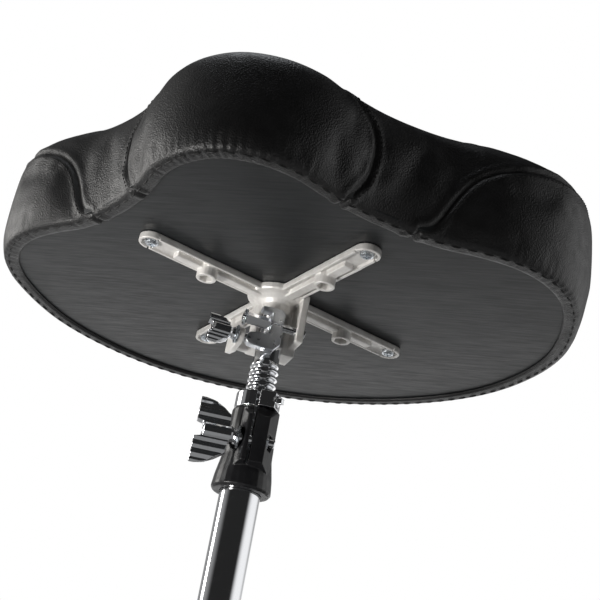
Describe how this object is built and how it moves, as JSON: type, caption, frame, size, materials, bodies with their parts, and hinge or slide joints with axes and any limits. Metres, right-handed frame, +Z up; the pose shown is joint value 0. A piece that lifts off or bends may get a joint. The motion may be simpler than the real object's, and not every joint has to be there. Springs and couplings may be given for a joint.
{
  "type": "drum throne",
  "caption": "Saddle-shaped padded drum seat on a threaded height spindle, with a clamp head, lock collar and a folding double-braced tripod stand.",
  "frame": {"origin": "on the floor, in the middle of the bounding box; the stand axis is 32 mm towards the nose from it", "axes": "+Z up, -Y towards the nose of the seat, +X to the right of a viewer who faces the nose"},
  "size_m": [0.4996, 0.496, 0.5639],
  "materials": {
    "leather": "black pebble-grain leatherette, semi-gloss",
    "foam": "open-cell seat foam, matte",
    "board": "dark grey laminate on plywood, satin with a fine streak",
    "cast_aluminium": "as-cast aluminium, fine grain, matte",
    "satin_steel": "satin plated steel",
    "chrome": "polished chrome plate",
    "zinc": "zinc plated steel",
    "black_paint": "black powder coat, semi-gloss",
    "black_nylon": "black nylon, matte",
    "rubber": "black rubber, matte"
  },
  "bodies": {
    "stand": {"stand_tube": "chrome", "tube_end_plug": "black_nylon", "base_collar": "black_paint", "base_set_screw": "zinc", "clamp_head": "black_paint", "height_nut": "zinc", "head_clamp_nut": "zinc", "rear_strut_pin": "chrome", "left_strut_pin": "chrome", "right_strut_pin": "chrome"},
    "lock_collar": {"lock_collar": "chrome"},
    "lock_key_bolt": {"lock_key_bolt": "chrome"},
    "spindle": {"height_spindle": "chrome"},
    "seat": {"seat_cover": "leather", "seat_foam": "foam", "seat_board": "board", "tee_nut_front_left": "zinc", "tee_nut_front_right": "zinc", "tee_nut_rear_left": "zinc", "tee_nut_rear_right": "zinc", "bracket_screw_front_left": "zinc", "bracket_screw_front_right": "zinc", "bracket_screw_rear_left": "zinc", "bracket_screw_rear_right": "zinc", "seat_bracket": "cast_aluminium", "jaw_guide_pin": "chrome", "jaw_pin_clip": "zinc", "seat_clamp_washer": "zinc"},
    "seat_clamp_jaw": {"seat_clamp_jaw": "satin_steel"},
    "seat_wing_bolt": {"seat_wing_bolt": "chrome"},
    "head_clamp_washer": {"head_clamp_washer": "zinc"},
    "head_wing_bolt": {"head_wing_bolt": "chrome"},
    "sliding_collar": {"sliding_collar": "black_paint", "slider_liner": "black_nylon", "rear_leg_pin": "chrome", "left_leg_pin": "chrome", "right_leg_pin": "chrome"},
    "slider_washer": {"slider_washer": "zinc"},
    "slider_wing_bolt": {"slider_wing_bolt": "chrome"},
    "rear_leg": {"rear_leg": "black_paint", "rear_foot": "rubber"},
    "rear_struts": {"rear_strut_left": "black_paint", "rear_strut_right": "black_paint"},
    "left_leg": {"left_leg": "black_paint", "left_foot": "rubber"},
    "left_struts": {"left_strut_left": "black_paint", "left_strut_right": "black_paint"},
    "right_leg": {"right_leg": "black_paint", "right_foot": "rubber"},
    "right_struts": {"right_strut_left": "black_paint", "right_strut_right": "black_paint"}
  },
  "joints": [
    {"name": "seat_turn", "type": "hinge", "parent": "stand", "child": "lock_collar", "pos_m": [0, -0.032, 0.346], "axis": [0, 0, 1], "range_deg": [-1566, 5286]},
    {"name": "seat_height", "type": "slide", "parent": "lock_collar", "child": "spindle", "axis": [0, 0, 1], "range_m": [-0.0261, 0.0881]},
    {"name": "lock_key_turn", "type": "hinge", "parent": "lock_collar", "child": "lock_key_bolt", "pos_m": [0.017, -0.04296, 0.346], "axis": [0.9703, -0.2419, 0], "range_deg": [0, 360]},
    {"name": "seat_lift", "type": "slide", "parent": "spindle", "child": "seat", "axis": [0, 0, 1], "range_m": [0, 0.035]},
    {"name": "seat_bolt_turn", "type": "hinge", "parent": "seat", "child": "seat_wing_bolt", "pos_m": [-0.0211, -0.06225, 0.393], "axis": [-0.866, -0.5, 0], "range_deg": [0, 720]},
    {"name": "jaw_slide", "type": "slide", "parent": "seat", "child": "seat_clamp_jaw", "axis": [0.866, 0.5, 0], "range_m": [0, 0.003]},
    {"name": "head_washer_slide", "type": "slide", "parent": "stand", "child": "head_clamp_washer", "axis": [-0.9455, -0.3256, 0], "range_m": [0, 0.003]},
    {"name": "head_bolt_turn", "type": "hinge", "parent": "head_clamp_washer", "child": "head_wing_bolt", "pos_m": [-0.00483, -0.05482, 0.3102], "axis": [-0.9455, -0.3256, 0], "range_deg": [0, 720]},
    {"name": "fold", "type": "slide", "parent": "stand", "child": "sliding_collar", "axis": [0, 0, 1], "range_m": [0, 0.10416]},
    {"name": "slider_washer_slide", "type": "slide", "parent": "sliding_collar", "child": "slider_washer", "axis": [-0.866, 0.5, 0], "range_m": [0, 0.003]},
    {"name": "slider_bolt_turn", "type": "hinge", "parent": "slider_washer", "child": "slider_wing_bolt", "pos_m": [-0.02711, -0.01635, 0.15], "axis": [-0.866, 0.5, 0], "range_deg": [0, 720]},
    {"name": "rear_leg_fold", "type": "hinge", "parent": "sliding_collar", "child": "rear_leg", "pos_m": [0, 0.01, 0.15], "axis": [-1, 0, 0], "range_deg": [0, 59.81]},
    {"name": "rear_strut_fold", "type": "hinge", "parent": "stand", "child": "rear_struts", "pos_m": [0, -0.005, 0.064], "axis": [1, 0, 0], "range_deg": [0, 57.85]},
    {"name": "left_leg_fold", "type": "hinge", "parent": "sliding_collar", "child": "left_leg", "pos_m": [-0.03637, -0.053, 0.15], "axis": [0.5, -0.866, 0], "range_deg": [0, 59.81]},
    {"name": "left_strut_fold", "type": "hinge", "parent": "stand", "child": "left_struts", "pos_m": [-0.02338, -0.0455, 0.064], "axis": [-0.5, 0.866, 0], "range_deg": [0, 57.85]},
    {"name": "right_leg_fold", "type": "hinge", "parent": "sliding_collar", "child": "right_leg", "pos_m": [0.03637, -0.053, 0.15], "axis": [0.5, 0.866, 0], "range_deg": [0, 59.81]},
    {"name": "right_strut_fold", "type": "hinge", "parent": "stand", "child": "right_struts", "pos_m": [0.02338, -0.0455, 0.064], "axis": [-0.5, -0.866, 0], "range_deg": [0, 57.85]}
  ],
  "couplings": [
    {"joint": "seat_height", "follows": "seat_turn", "m_per_rad": 0.00095493},
    {"joint": "jaw_slide", "follows": "seat_bolt_turn", "m_per_rad": 0.000238},
    {"joint": "head_washer_slide", "follows": "head_bolt_turn", "m_per_rad": 0.000238},
    {"joint": "slider_washer_slide", "follows": "slider_bolt_turn", "m_per_rad": 0.000238},
    {"joint": "rear_leg_fold", "follows": "fold", "rad_per_m": 10.013},
    {"joint": "rear_strut_fold", "follows": "fold", "rad_per_m": 9.6857},
    {"joint": "left_leg_fold", "follows": "fold", "rad_per_m": 10.013},
    {"joint": "left_strut_fold", "follows": "fold", "rad_per_m": 9.6857},
    {"joint": "right_leg_fold", "follows": "fold", "rad_per_m": 10.013},
    {"joint": "right_strut_fold", "follows": "fold", "rad_per_m": 9.6857}
  ]
}
